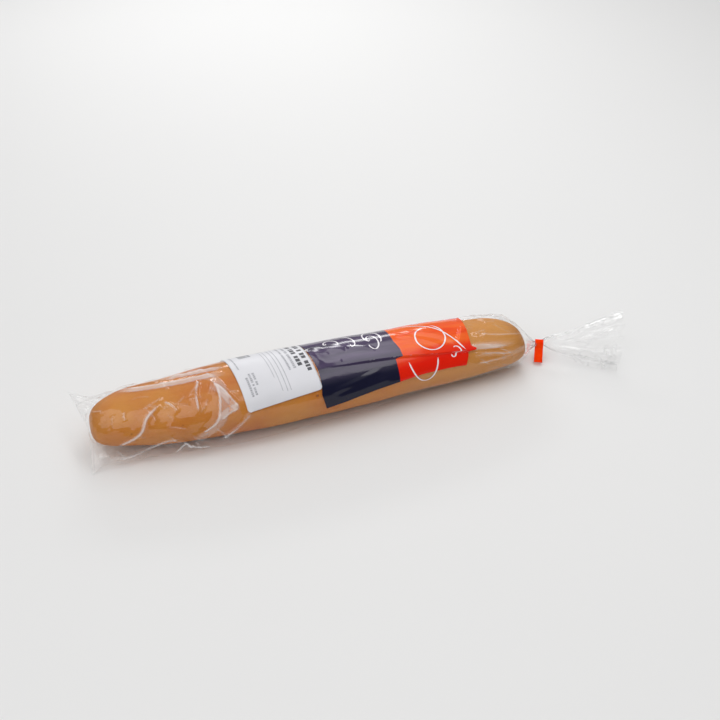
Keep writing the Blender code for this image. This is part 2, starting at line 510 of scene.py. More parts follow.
@dataclass(frozen=True)
class TableFinish:
    """A plain pale matt table."""

    colour: Colour = (0.80, 0.80, 0.80)

    def material(self) -> bpy.types.Material:
        """Builds the table's nodes.

        Returns:
            The material.
        """
        w = Wiring("table_finish")
        shade = tuple(0.985 * c for c in self.colour)
        colour = w.mix(w.noise(3, 2), self.colour, shade)
        return w.finish(w.add("BsdfPrincipled", {"Base Color": colour, "Roughness": 0.75}))


# ---------------------------------------------------------------- the loaf


@dataclass(frozen=True)
class NodeBox:
    """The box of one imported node."""

    low: Vector
    high: Vector

    @classmethod
    def of(cls, node: str) -> "NodeBox":
        """Reads the node's box from the frame."""
        return cls(*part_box(node))

    @property
    def middle(self) -> Vector:
        """The middle of the box."""
        return (self.low + self.high) / 2

    @property
    def size(self) -> Vector:
        """The box's three sides."""
        return self.high - self.low


@dataclass
class Loaf:
    """The baked loaf: blunt-ended, flat-soled, its tips drooping to the table.

    Its own coordinates are centred on the loaf: x along it, y across, z up from the table.
    """

    box: NodeBox
    bluntness: float = 3.3
    sole_depth: float = 0.0025
    droops: tuple[float, float] = (0.22, 0.42)
    segments: int = 224
    rings: int = 200

    def __post_init__(self) -> None:
        """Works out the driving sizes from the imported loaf's box."""
        self.half_length = self.box.size.x / 2
        self.half_width = self.box.size.y / 2
        self.base = self.box.low.z
        self.half_height = (self.box.size.z + self.sole_depth) / 2
        self.axis_height = self.box.high.z - self.half_height
        self.offset = np.array([self.box.middle.x, self.box.middle.y, 0.0])

    def fullness(self, x: Points) -> Points:
        """Share of the full section that the loaf has at x."""
        share = np.clip(1 - np.abs(x / self.half_length) ** self.bluntness, 0.0, None)
        return share ** (1 / self.bluntness)

    def axis(self, x: Points, fullness: Points) -> Points:
        """Height of the section's axis: the tips droop a little."""
        return self.axis_height - np.where(x < 0, *self.droops) * (1 - fullness) * self.half_height

    @staticmethod
    def crown(x: Points) -> Points:
        """How much lower and narrower the top and back are than the plain section.

        Args:
            x: places along the loaf.

        Returns:
            The lowering at each place, in metres.
        """
        flat = -0.0036 * ease((0.205 - np.abs(x)) / 0.05) + 0.0010 * bell(x, -0.075, 0.035)
        flat -= 0.0014 * bell(x, -0.150, 0.030) + 0.0015 * bell(x, 0.080, 0.045)
        return flat - 0.0008 * bell(x, -0.200, 0.020) - 0.0020 * bell(x, 0.185, 0.028)

    @staticmethod
    def cheek(x: Points) -> Points:
        """How much the front stands out: a swell left of the middle and a waist right of it."""
        swell = 0.0022 * bell(x, -0.060, 0.055) - 0.0036 * bell(x, 0.125, 0.055)
        return swell - 0.0022 * bell(x, -0.200, 0.022) - 0.0018 * bell(x, 0.190, 0.030)

    def reaches(self, x: Points, fullness: Points, front: Points, upper: Points) -> tuple[Points, Points]:
        """Half width and half height of the section in the quarter that a point is in.

        Args:
            x: places along the loaf.
            fullness: the share of the full section there.
            front: whether the point is on the front side.
            upper: whether it is above the middle.

        Returns:
            Half width and half height, in metres.
        """
        fade = np.minimum(1, 2 * fullness)
        crown, cheek = self.crown(x) * fade, self.cheek(x) * fade
        width = self.half_width * fullness + np.where(front, cheek, crown)
        height = self.half_height * fullness + np.where(upper, crown, np.where(front, 0.6 * cheek, 0.0))
        return np.maximum(width, 1e-4), np.maximum(height, 1e-4)

    def lumps(self, x: Points, angle: Points) -> Points:
        """Soft unevenness of the crust as a share of the section's radius.

        Args:
            x: places along the loaf.
            angle: places round the section.

        Returns:
            The unevenness at each place.
        """
        waves = (
            (21.0, 1, 0.4, 0.0090), (34.0, -2, 1.9, 0.0075), (57.0, 2, 4.4, 0.0060),
            (83.0, 3, 2.6, 0.0040), (121.0, -3, 0.9, 0.0028), (171.0, 4, 5.2, 0.0018),
        )
        total = np.zeros(np.broadcast(x, angle).shape)
        for pitch, turns, phase, depth in waves:
            total += depth * np.sin(pitch * x + turns * angle + phase) * np.cos(0.31 * pitch * x - phase)
        return total

    def surface(self, x: Points, fullness: Points, angle: Points) -> Points:
        """Points on the crust; angle is 0 at the ridge and grows towards the front.

        Args:
            x: places along the loaf.
            fullness: the share of the full section there.
            angle: places round the section.

        Returns:
            One point per row.
        """
        across, up = np.sin(angle), np.cos(angle)
        lumps = 1 + self.lumps(x, angle) * np.clip(fullness * 1.4, 0, 1)
        width, height = self.reaches(x, fullness, across > 0, up > 0)
        thin = np.clip(fullness * 8, 0, 1)
        z = self.axis(x, fullness) + height * thin * up * lumps
        return np.stack([x, -width * thin * across * lumps, np.maximum(self.base, z)], axis=-1)

    def keep_outside(self, points: Points, gap: float) -> Points:
        """Moves film points that are inside the loaf to just outside it, and under its sole to the table.

        Args:
            points: points in the loaf's own coordinates.
            gap: how far off the crust a moved point ends up.

        Returns:
            The points, none of them in the loaf or below the table.
        """
        x, y, z = points.T
        fullness = self.fullness(x)
        solid = fullness > 0.02
        axis = self.axis(x, fullness)
        half_width, half_height = self.reaches(x, fullness, y < 0, z > axis)
        across, up = -y / half_width, (z - axis) / half_height
        angle = np.arctan2(across, up)
        reach = np.hypot(across, up)
        wanted = 1 + self.lumps(x, angle) * np.clip(fullness * 1.4, 0, 1) + gap / half_height
        inside = solid & (reach < wanted)
        on_sole = inside & (z < self.base + 0.0008)
        pushed = inside & ~on_sole
        grow = np.where(pushed, wanted / np.maximum(reach, 1e-3), 1.0)
        moved = np.stack([x, y * grow, axis + (z - axis) * grow], axis=-1)
        moved[:, 2] = np.where(on_sole | (pushed & (moved[:, 2] < self.base)), SOLE_GAP, moved[:, 2])
        moved[:, 2] = np.maximum(moved[:, 2], SOLE_GAP * 0.75)
        return moved

    def mesh(self, name: str, segments: int, rings: int) -> bpy.types.Mesh:
        """The loaf as a closed mesh in its own coordinates.

        Args:
            name: the mesh's name.
            segments: faces round the loaf.
            rings: faces along it.

        Returns:
            The mesh, facing outwards.
        """
        bm = bmesh.new()
        bmesh.ops.create_uvsphere(bm, u_segments=segments, v_segments=rings, radius=1.0)
        turn = Matrix.Rotation(math.radians(90), 3, "Y")
        bmesh.ops.rotate(bm, cent=(0, 0, 0), matrix=turn, verts=bm.verts)
        mesh = finished_mesh(name, bm)
        ball = mesh_points(mesh)
        radius = np.hypot(ball[:, 1], ball[:, 2])
        x = self.half_length * np.sign(ball[:, 0]) * np.abs(ball[:, 0]) ** (2 / self.bluntness)
        angle = np.arctan2(-ball[:, 1], ball[:, 2])
        set_mesh_points(mesh, self.surface(x, radius ** (2 / self.bluntness), angle))
        face_outward(mesh, Vector((0, 0, self.axis_height)))
        return mesh

    def build(self) -> bpy.types.Object:
        """Makes the loaf that is seen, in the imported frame.

        Returns:
            The loaf.
        """
        mesh = self.mesh("baguette_loaf", self.segments, self.rings)
        set_mesh_points(mesh, mesh_points(mesh) + self.offset)
        finish = CrustFinish(self.box.size.x, self.box.middle.x)
        loaf = add_object("baguette_loaf", mesh, finish.material())
        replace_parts(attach(loaf, "root"), "loaf")
        return loaf


# ---------------------------------------------------------------- the film and its creases


@dataclass(frozen=True)
class Crease:
    """A ridge pressed into the film.

    The route runs through (x, around) points: x along the loaf from its middle, around from the
    ridge down the front. Before and after are its widths towards the ridge and away from it; the
    painted flank sheen is how pale its wider flank is painted, a painted reflection.
    """

    route: tuple[tuple[float, float], ...]
    before: float
    after: float
    height: float
    painted_flank_sheen: float = 0.0

    def smooth_route(self, steps: int = 6) -> Points:
        """The route as a smooth curve through its points.

        Args:
            steps: how many pieces each stretch is cut into.

        Returns:
            The points of the curve.
        """
        knots = np.array([self.route[0], *self.route, self.route[-1]])
        t = np.linspace(0, 1, steps, endpoint=False)[:, None]
        pieces = []
        for a, b, c, d in zip(knots, knots[1:], knots[2:], knots[3:]):
            square, cube = 2 * a - 5 * b + 4 * c - d, 3 * b - a - 3 * c + d
            pieces.append(0.5 * (2 * b + (c - a) * t + square * t**2 + cube * t**3))
        return np.vstack([*pieces, knots[-1:]])


@dataclass
class FilmSurface:
    """The settled film as a smooth surface over (along, around) in metres.

    Along runs from the weld to the open mouth, around from the ridge down the front side.
    """

    grid: Points
    length: float
    girth: float
    loaf: Loaf
    creases: list[Crease] = field(default_factory=list)
    stiff_middle: tuple[float, float] = (-0.049, -0.002)
    stiff_half: tuple[float, float] = (0.039, 0.050)
    stiff_fade: float = 0.004
    crest_width: float = 0.0011
    glint_height: float = 0.0020

    def __post_init__(self) -> None:
        """Pads the grid's ends and notes where the ridge line runs."""
        first = 2 * self.grid[:1] - self.grid[1:2]
        last = 2 * self.grid[-1:] - self.grid[-2:-1]
        self.padded = np.concatenate([first, self.grid, last])
        self.ridge_x = self.grid[:, 0, 0]
        self.stations = np.linspace(0, self.length, len(self.grid))

    def along_at(self, x: Points) -> Points:
        """The distance along the film at which its ridge passes x."""
        return np.interp(x, self.ridge_x, self.stations)

    def bare(self, along: Points, around: Points) -> tuple[Points, Points]:
        """The film before creasing: a cubic spline surface over the grid.

        Args:
            along: distances from the weld.
            around: distances from the ridge, positive down the front.

        Returns:
            The points and their outward normals.
        """
        rows, columns = len(self.grid) - 1, self.grid.shape[1]
        u = np.clip(along / self.length, 0, 1) * rows
        i = np.minimum(u.astype(int), rows - 1)
        v = around / self.girth * columns
        j = np.floor(v).astype(int)
        point, by_u, by_v = (np.zeros((len(u), 3)) for _ in range(3))
        weights = [(self.weights(t), self.slopes(t)) for t in (u - i, v - j)]
        for a in range(4):
            for b in range(4):
                knot = self.padded[i + a, (j - 1 + b) % columns]
                point += (weights[0][0][a] * weights[1][0][b])[:, None] * knot
                by_u += (weights[0][1][a] * weights[1][0][b])[:, None] * knot
                by_v += (weights[0][0][a] * weights[1][1][b])[:, None] * knot
        normal = np.cross(by_v, by_u)
        return point, normal / np.maximum(np.linalg.norm(normal, axis=1), 1e-12)[:, None]

    @staticmethod
    def weights(t: Points) -> list[Points]:
        """The four weights of a uniform cubic spline."""
        inner = (3 * t**3 - 6 * t**2 + 4) / 6, (-3 * t**3 + 3 * t**2 + 3 * t + 1) / 6
        return [(1 - t) ** 3 / 6, *inner, t**3 / 6]

    @staticmethod
    def slopes(t: Points) -> list[Points]:
        """The slopes of those weights."""
        return [-((1 - t) ** 2) / 2, (3 * t**2 - 4 * t) / 2, (-3 * t**2 + 2 * t + 1) / 2, t**2 / 2]

    def relief(self, along: Points, around: Points) -> tuple[Points, Points]:
        """How far the creases lift the film at each place, and how much painted highlight they put on it.

        Args:
            along: distance along the film from its welded end.
            around: distance round the film from the ridge.

        Returns:
            The lift in metres and the painted highlight, at each place.
        """
        height, painted_glint = np.zeros(len(along)), np.zeros(len(along))
        for crease in self.creases:
            route = crease.smooth_route()
            path = np.stack([self.along_at(route[:, 0]), route[:, 1]], axis=1)
            reach = max(crease.before, crease.after)
            low, high = path.min(0) - reach, path.max(0) + reach
            near = (along > low[0]) & (along < high[0])
            wrapped = (around - low[1]) % self.girth + low[1]
            near &= wrapped < high[1]
            spots = np.nonzero(near)[0]
            if len(spots):
                place = np.stack([along[spots], wrapped[spots]], axis=1)
                crest, flank = self.profile(place, path, crease)
                height[spots] += crease.height * crest
                # Painted highlight: the crest of every crease, and the wider flank of those with a painted
                # flank sheen, are whitened in place of the light they reflect.
                edge = 1 - self.crest_width / min(crease.before, crease.after)
                broken = 0.75 + 0.25 * np.sin(place[:, 0] * 120 + 3 * np.sin(place[:, 1] * 130))
                painted_glint[spots] += ease((crest - edge) / (1 - edge)) * broken * crease.height / self.glint_height
                painted_glint[spots] += crease.painted_flank_sheen * flank * (0.75 + 0.25 * broken)
        free = 1 - self.under_label(along, around)
        return height * free, np.minimum(painted_glint * free, 1.2)

    def under_label(self, along: Points, around: Points) -> Points:
        """1 where the stiff label keeps the film flat, fading to 0 outside it.

        Args:
            along: distance along the film from its welded end.
            around: distance round the film from the ridge.

        Returns:
            The mask at each place.
        """
        x = np.interp(along, self.stations, self.ridge_x)
        beyond = np.abs(x - self.stiff_middle[0]) - self.stiff_half[0]
        wrapped = (around + self.girth / 2) % self.girth - self.girth / 2
        beyond = np.maximum(beyond, np.abs(wrapped - self.stiff_middle[1]) - self.stiff_half[1])
        return 1 - ease(beyond / self.stiff_fade)

    @staticmethod
    def profile(place: Points, path: Points, crease: Crease) -> tuple[Points, Points]:
        """A crease's height at each place as a share of its full height, and the mask of its wider flank for
        painted sheen.

        Args:
            place: rows of (along, around).
            path: the crease's route as such rows.
            crease: the crease.

        Returns:
            The height share and the mask at each place.
        """
        nearest = np.full(len(place), np.inf)
        side = np.zeros(len(place))
        run = np.zeros(len(place))
        count = len(path) - 1
        for k, (begin, end) in enumerate(zip(path, path[1:])):
            step = end - begin
            size = max(float(step @ step), 1e-12)
            share = np.clip((place - begin) @ step / size, 0, 1)
            away = place - (begin + share[:, None] * step)
            distance = np.hypot(away[:, 0], away[:, 1])
            closer = distance < nearest
            nearest = np.where(closer, distance, nearest)
            side = np.where(closer, step[0] * away[:, 1] - step[1] * away[:, 0], side)
            run = np.where(closer, (k + share) / count, run)
        width = np.where(side > 0, crease.after, crease.before)
        crest = np.clip(1 - nearest / width, 0, 1) ** 1.08
        taper = ease(np.minimum(run, 1 - run) / 0.22 + 0.02)
        wider = side > 0 if crease.after > crease.before else side <= 0
        return crest * taper, ease((1 - nearest / width) * 5) * taper * wider

    def at(self, along: Points, around: Points, lift: float = 0.0) -> Points:
        """Points on the creased film, lifted off it and clear of the loaf.

        Args:
            along: distance along the film from its welded end.
            around: distance round the film from the ridge.
            lift: how far off the film the points lie.

        Returns:
            One point per row.
        """
        point, normal = self.bare(along, around)
        point = point + normal * self.relief(along, around)[0][:, None]
        point = self.loaf.keep_outside(point, 0.0004)
        return point + normal * lift

    def patch(self, x: Points, around: Points, lift: float) -> Points:
        """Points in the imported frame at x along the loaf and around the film."""
        return self.at(self.along_at(x), around, lift) + self.loaf.offset


@dataclass
class FilmBag:
    """A tube of film laid over the loaf: welded flat, then round the loaf, gathered, and flared."""

    loaf: Loaf
    tape: NodeBox
    lay_flat_width: float = 0.125
    body_length: float = 0.536
    tail_length: float = 0.085
    weld: float = 0.006
    row_spacing: float = 0.0035
    columns: int = 80
    frames: int = 26
    fine_columns: int = 240
    fine_rows: int = 410
    front_corner: tuple[float, float, float] = (-0.243, -0.0395, 0.0012)
    back_corner: tuple[float, float, float] = (-0.246, 0.0644, 0.0300)
    neck_radius: float = 0.0024
    neck_pleat: float = 0.0012
    neck_z: float = 0.0172
    neck_half: float = 0.0055
    mouth_x: float = 0.335
    mouth_z: float = 0.0285
    tail_tilt: float = math.radians(42)
    body_from: float = 0.066
    body_to: float = 0.466
    body_reach: float = 0.2
    fold_knots: Knots = (
        (-0.24, -0.039), (-0.19, -0.037), (-0.133, -0.0455),
        (-0.087, -0.053), (-0.02, -0.0505), (0.06, -0.044),
    )
    fold_height: float = 0.0014
    fold_end_x: float = 0.09
    slack_knots: Knots = (
        (-0.24, 0.026), (-0.17, 0.014), (-0.10, 0.0014), (0.09, 0.0014), (0.16, 0.040), (0.20, 0.052),
    )
    film_gap: float = 0.0016
    crease_glint: float = 0.52

    def __post_init__(self) -> None:
        """Works out the grid from the lengths."""
        self.girth = 2 * self.lay_flat_width
        self.length = self.body_length + self.tail_length
        self.rows = round(self.length / self.row_spacing)
        self.angle = 2 * np.pi * np.arange(self.columns) / self.columns
        self.zigzag = np.where(np.arange(self.columns) % 2 == 0, 1.0, -1.0)
        self.neck_x = self.tape.middle.x - self.loaf.box.middle.x
        self.neck_end = self.body_length + 0.010

    # -- the starting shape

    def start_x(self, along: float) -> float:
        """Where a station stands before the film settles.

        Args:
            along: the station, as a distance from the welded end.

        Returns:
            Its x.
        """
        tip = -self.loaf.half_length
        knots = (
            (0, tip - 0.002),
            (self.weld, tip + 0.001),
            (self.body_from, -self.body_reach),
            (self.body_to, self.body_reach),
            (self.body_length, self.neck_x - self.neck_half),
            (self.neck_end, self.neck_x + self.neck_half),
            (self.length, self.mouth_x),
        )
        return float(through(knots, along))

    def even_loop(self, section: Points) -> Points:
        """A closed outline resampled evenly to the tube's columns.

        Args:
            section: the outline, as rows of y and z.

        Returns:
            One row for each column of the tube.
        """
        closed = np.vstack([section, section[:1]])
        run = np.r_[0, np.cumsum(np.hypot(*np.diff(closed, axis=0).T))]
        marks = np.linspace(0, run[-1], self.columns, endpoint=False)
        return np.stack([np.interp(marks, run, closed[:, k]) for k in (0, 1)], axis=1)

    def body_section(self, x: float) -> Points:
        """The film pulled round the loaf at x, its slack in a fold on the table and one behind the loaf.

        Args:
            x: the place along the loaf.

        Returns:
            Rows of y and z.
        """
        angle = np.linspace(0, 2 * np.pi, 181)[:-1]
        spot = np.full(180, x)
        crust = self.loaf.surface(spot, self.loaf.fullness(spot), angle)[:, 1:]
        middle = crust.mean(0)
        spokes = crust - middle
        crust = middle + spokes * (1 + self.film_gap / np.linalg.norm(spokes, axis=1))[:, None]
        crust[:, 1] = np.maximum(crust[:, 1], self.fold_height)
        fold = [] if x > self.fold_end_x else [(float(through(self.fold_knots, x)), self.fold_height)]
        slack_height = float(through(self.slack_knots, x))
        low, high = 0.0, 0.09
        for _ in range(24):
            reach = (low + high) / 2
            outline = [Vector(p) for p in (*crust.tolist(), *fold, (reach, slack_height))]
            ring = [outline[i] for i in convex_hull_2d(outline)]
            if sum((a - b).length for a, b in zip(ring, ring[1:] + ring[:1])) < self.girth:
                low = reach
            else:
                high = reach
        return self.from_ridge(np.array(ring))

    def from_ridge(self, ring: Points) -> Points:
        """A convex outline resampled evenly, starting at the top and going down the front.

        Args:
            ring: the outline, as rows of y and z.

        Returns:
            One row for each column of the tube.
        """
        turn = np.sum(ring[:, 0] * np.roll(ring[:, 1], -1) - np.roll(ring[:, 0], -1) * ring[:, 1])
        ring = ring if turn > 0 else ring[::-1]
        following = np.roll(ring, -1, axis=0)
        crossing = np.nonzero((ring[:, 0] > 0) & (following[:, 0] <= 0) & (ring[:, 1] > 0.01))[0][0]
        a, b = ring[crossing], following[crossing]
        top = a + (b - a) * a[0] / max(a[0] - b[0], 1e-9)
        return self.even_loop(np.vstack([top, np.roll(ring, -crossing - 1, axis=0)]))

    def weld_ring(self) -> Points:
        """The welded end: two layers from a corner on the table, past the loaf's tip, to a raised corner.

        Returns:
            Rows of x, y and z.
        """
        turn = self.angle / (2 * np.pi)
        under = (turn >= 0.25) & (turn <= 0.75)
        over = np.where(turn < 0.25, (0.25 - turn) / 0.5, (1.25 - turn) / 0.5)
        across = np.where(under, (turn - 0.25) / 0.5, over)
        front, back = np.array(self.front_corner), np.array(self.back_corner)
        tip = -self.loaf.half_length - 0.002
        to_front = tip + (front[0] - tip) * ease(1 - across / 0.4)
        to_back = tip + (back[0] - tip) * ease((across - 0.4) / 0.6)
        x = np.where(across < 0.4, to_front, to_back)
        y = front[1] + (back[1] - front[1]) * across
        z = front[2] + 0.0245 * ease(across / 0.34) + (back[2] - 0.0257) * ease((across - 0.5) / 0.5)
        z += 0.0025 * np.sin(3 * np.pi * across) * across
        return np.stack([x, y, z + np.where(under, -1, 1) * 0.0004], axis=1)

    def neck_section(self) -> Points:
        """The gathered neck: a small pleated ring."""
        radius = self.neck_radius + self.neck_pleat * self.zigzag
        return np.stack([-radius * np.sin(self.angle), self.neck_z + radius * np.cos(self.angle)], axis=1)

    def tail_section(self, share: float) -> Points:
        """The flaring tail: a tilted flat oval with uneven pleats, leaning down to the front.

        Args:
            share: how far along the tail, from 0 to 1.

        Returns:
            Rows of y and z.
        """
        grown = share**0.75
        half_width, half_depth = 0.004 + 0.026 * grown, 0.004 + 0.004 * grown
        sin, cos = np.sin(self.angle), np.cos(self.angle)
        normal = np.stack([-sin * half_depth, cos * half_width], axis=1)
        normal /= np.linalg.norm(normal, axis=1)[:, None]
        drift = 0.9 * np.sin(2 * self.angle + 1) + 2.2 * share * np.sin(3 * self.angle)
        pleats = np.sin(9 * self.angle + drift)
        pleats *= 1 + 0.45 * np.sin(3 * self.angle + 2)
        fade = min(1.0, 3 * share)
        depth = (0.0014 + 0.0036 * grown) * pleats * fade + self.zigzag * (1 - fade) * self.neck_pleat
        flat = np.stack([-half_width * sin, half_depth * cos], axis=1) + normal * depth[:, None]
        cosine, sine = math.cos(self.tail_tilt), math.sin(self.tail_tilt)
        turn = np.array([[cosine, sine], [-sine, cosine]])
        section = flat @ turn + (-0.0365 * grown, self.neck_z + (self.mouth_z - self.neck_z) * grown)
        section[:, 1] = np.maximum(section[:, 1], 0.0012)
        return section

    def start_ring(self, along: float) -> Points:
        """The ring of film at a station, before it settles.

        Args:
            along: the station, as a distance from the welded end.

        Returns:
            Rows of x, y and z.
        """
        x = np.full(self.columns, self.start_x(along))
        if along < self.body_from:
            weld = self.weld_ring()
            share = ease(np.array((along - self.weld) / (self.body_from - self.weld)))
            x = x + (weld[:, 0] - x[0]) * (1 - along / self.body_from)
            section = weld[:, 1:] * (1 - share) + self.body_section(-self.body_reach) * share
        elif along <= self.body_to:
            section = self.body_section(x[0])
        elif along < self.body_length:
            share = float(ease(np.array((along - self.body_to) / (self.body_length - self.body_to))))
            section = self.body_section(self.body_reach) * (1 - share) + self.neck_section() * share
            middle = section.mean(0)
            spoke = section - middle
            pleat = 0.9 * self.neck_pleat * self.zigzag * math.sin(math.pi * min(1.2 * share, 1))
            section = middle + spoke * (1 + pleat / np.linalg.norm(spoke, axis=1))[:, None]
        elif along <= self.neck_end:
            section = self.neck_section()
        else:
            share = (along - self.neck_end) / (self.length - self.neck_end)
            section = self.tail_section(share)
            x -= 0.012 * share**0.75 * np.sin(self.angle)
        return np.column_stack([x, section])

    def held(self, row: int, place: Points) -> bool:
        """Whether a point is held still: at the weld, the neck, the mouth or the fold on the table.

        Args:
            row: the point's row of the grid.
            place: where it starts.

        Returns:
            True if the point is held.
        """
        along = row * self.length / self.rows
        fold = -0.25 < place[0] < -0.085 and place[1] < -0.030 and place[2] < 0.0022
        return fold or along < self.weld or self.body_length <= along <= self.neck_end or row == self.rows

    # -- the simulation

    def collider(self, name: str, mesh: bpy.types.Mesh, thickness: float) -> bpy.types.Object:
        """A body that the film can't pass through.

        Args:
            name: the body's name.
            mesh: its mesh.
            thickness: the gap kept outside it.

        Returns:
            The body.
        """
        obj = bpy.data.objects.new(name, mesh)
        bpy.context.scene.collection.objects.link(obj)
        obj.modifiers.new("collision", "COLLISION")
        obj.collision.thickness_outer = thickness
        obj.collision.thickness_inner = 0.05
        obj.collision.damping = 0.5
        obj.collision.cloth_friction = 2.5
        return obj

    def settle(self) -> Points:
        """Lets the film settle over the loaf under its own weight.

        Returns:
            The settled grid: one row per station, one column round the tube, in the loaf's coordinates.
        """
        mesh, column, row = tube_mesh("film_settling", self.columns, self.rows)
        start = np.stack([self.start_ring(r * self.length / self.rows) for r in range(self.rows + 1)])
        set_mesh_points(mesh, start[row, column])
        film = bpy.data.objects.new("film_settling", mesh)
        bpy.context.scene.collection.objects.link(film)
        film.shape_key_add(name="Basis")
        flat = film.shape_key_add(name="as_made")
        radius = self.girth / (2 * np.pi)
        along = row * self.length / self.rows
        angle = self.angle[column]
        made = np.stack([along, -radius * np.sin(angle), radius * np.cos(angle)], axis=1)
        flat.data.foreach_set("co", made.astype(np.float32).ravel())
        flat.value = 0.0
        group = film.vertex_groups.new(name="held")
        held = [i for i, r in enumerate(row.tolist()) if self.held(r, start[r, column[i]])]
        group.add(held, 1.0, "REPLACE")
        self.add_cloth(film, flat)
        floor = bmesh.new()
        bmesh.ops.create_grid(floor, x_segments=4, y_segments=4, size=1.0)
        colliders = [
            self.collider("loaf_stop", self.loaf.mesh("loaf_stop", 64, 64), 0.0012),
            self.collider("table_stop", finished_mesh("table_stop", floor), 0.0008),
        ]
        scene = bpy.context.scene
        for number in range(1, self.frames + 1):
            scene.frame_set(number)
        settled = film.evaluated_get(bpy.context.evaluated_depsgraph_get())
        points = mesh_points(settled.data)
        grid = np.empty_like(start)
        grid[row, column] = points
        for obj in (film, *colliders):
            data = obj.data
            bpy.data.objects.remove(obj)
            bpy.data.meshes.remove(data)
        scene.frame_set(1)
        return grid

    def add_cloth(self, film: bpy.types.Object, flat: bpy.types.ShapeKey) -> None:
        """Gives the film its cloth settings: thin, hardly stretching, softly bending.

        Args:
            film: the film at its starting shape.
            flat: the shape key that holds its unstretched shape.
        """
        cloth = film.modifiers.new("cloth", "CLOTH")
        settings = cloth.settings
        settings.quality = 6
        settings.mass = 0.02
        settings.air_damping = 2
        settings.bending_model = "ANGULAR"
        settings.tension_stiffness = settings.compression_stiffness = 15
        settings.shear_stiffness = 8
        settings.bending_stiffness = 0.45
        settings.tension_damping = settings.compression_damping = settings.shear_damping = 10
        settings.bending_damping = 0.5
        settings.vertex_group_mass = "held"
        settings.pin_stiffness = 50
        settings.rest_shape_key = flat
        cloth.collision_settings.distance_min = 0.0008
        cloth.collision_settings.collision_quality = 3
        cloth.collision_settings.use_self_collision = False
        cloth.point_cache.frame_start = 1
        cloth.point_cache.frame_end = self.frames + 5

    def smooth_middle(self, grid: Points) -> Points:
        """Calms the film over the loaf's middle, where it is drawn tight, and leaves its ends alone.

        Args:
            grid: the film's points by row and column.

        Returns:
            The calmed grid.
        """
        x = grid[..., 0]
        tight = ease((0.205 - np.abs(x + 0.012)) / 0.07)[..., None]
        for step in range(60):
            along = grid.copy()
            along[1:-1] = (grid[:-2] + grid[2:]) / 2
            grid = grid + 0.5 * tight * (along - grid)
            if step % 3 == 0:
                beside = (np.roll(grid, 1, axis=1) + np.roll(grid, -1, axis=1)) / 2
                grid = grid + 0.5 * tight * (beside - grid)
        shape = grid.shape
        return self.loaf.keep_outside(grid.reshape(-1, 3), 0.0009).reshape(shape)

    def surface(self) -> FilmSurface:
        """Settles the film and gives its smooth, creased surface.

        Returns:
            The surface that other pieces lie on.
        """
        grid = self.smooth_middle(self.settle())
        surface = FilmSurface(grid, self.length, self.girth, self.loaf)
        surface.creases = [*PLACED_CREASES, *scattered_creases()]
        return surface

    # -- the film that is seen

    def fine_stations(self) -> Points:
        """Stations along the film, closer together where it creases most.

        Returns:
            The stations, from the welded end to the mouth.
        """
        along = np.linspace(0, self.length, 2000)
        busy = 1.0 - 0.58 * ease((along - 0.165) / 0.03) * ease((0.455 - along) / 0.03)
        share = np.r_[0, np.cumsum(busy[1:] + busy[:-1])]
        return np.interp(np.linspace(0, share[-1], self.fine_rows + 1), share, along)

    def haze_and_glint(self, surface: FilmSurface, along: Points, around: Points) -> Points:
        """How milky the film is: slightly everywhere and more at the weld and the neck, plus painted
        highlight along sharp creases.
        """
        haze_and_glint = 0.010 + 0.03 * (1 - ease(along / 0.030)) + 0.08 * bell(along, self.body_length + 0.005, 0.012)
        return haze_and_glint + self.crease_glint * surface.relief(along, around)[1]

    def build(self, surface: FilmSurface) -> bpy.types.Object:
        """Makes the film that is seen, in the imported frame.

        Args:
            surface: the settled and creased film.

        Returns:
            The bag.
        """
        mesh, column, row = tube_mesh("bag_film", self.fine_columns, self.fine_rows)
        stations = self.fine_stations()
        around = column * self.girth / self.fine_columns
        points = surface.at(stations[row], around)
        weld = np.nonzero(row == 0)[0]
        partner = {int(column[i]): i for i in weld}
        half = self.fine_columns // 2
        joined = np.array([partner[(half - int(column[i])) % self.fine_columns] for i in weld])
        points[weld] = (points[weld] + points[joined]) / 2
        set_mesh_points(mesh, points + self.loaf.offset)
        shade = mesh.attributes.new("haze_and_glint", "FLOAT", "POINT")
        shade.data.foreach_set("value", self.haze_and_glint(surface, stations[row], around).astype(np.float32))
        bm = bmesh.new()
        bm.from_mesh(mesh)
        bm.verts.ensure_lookup_table()
        bmesh.ops.remove_doubles(bm, verts=[bm.verts[int(i)] for i in weld], dist=1e-5)
        bm.to_mesh(mesh)
        bm.free()
        film = add_object("bag_film", mesh, ClearFilmFinish().material())
        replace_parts(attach(film, "root"), "bag")
        return film


TUCK = ((-0.010, 0.0240), (0.040, 0.0265), (0.085, 0.0285), (0.125, 0.0315), (0.166, 0.0325))

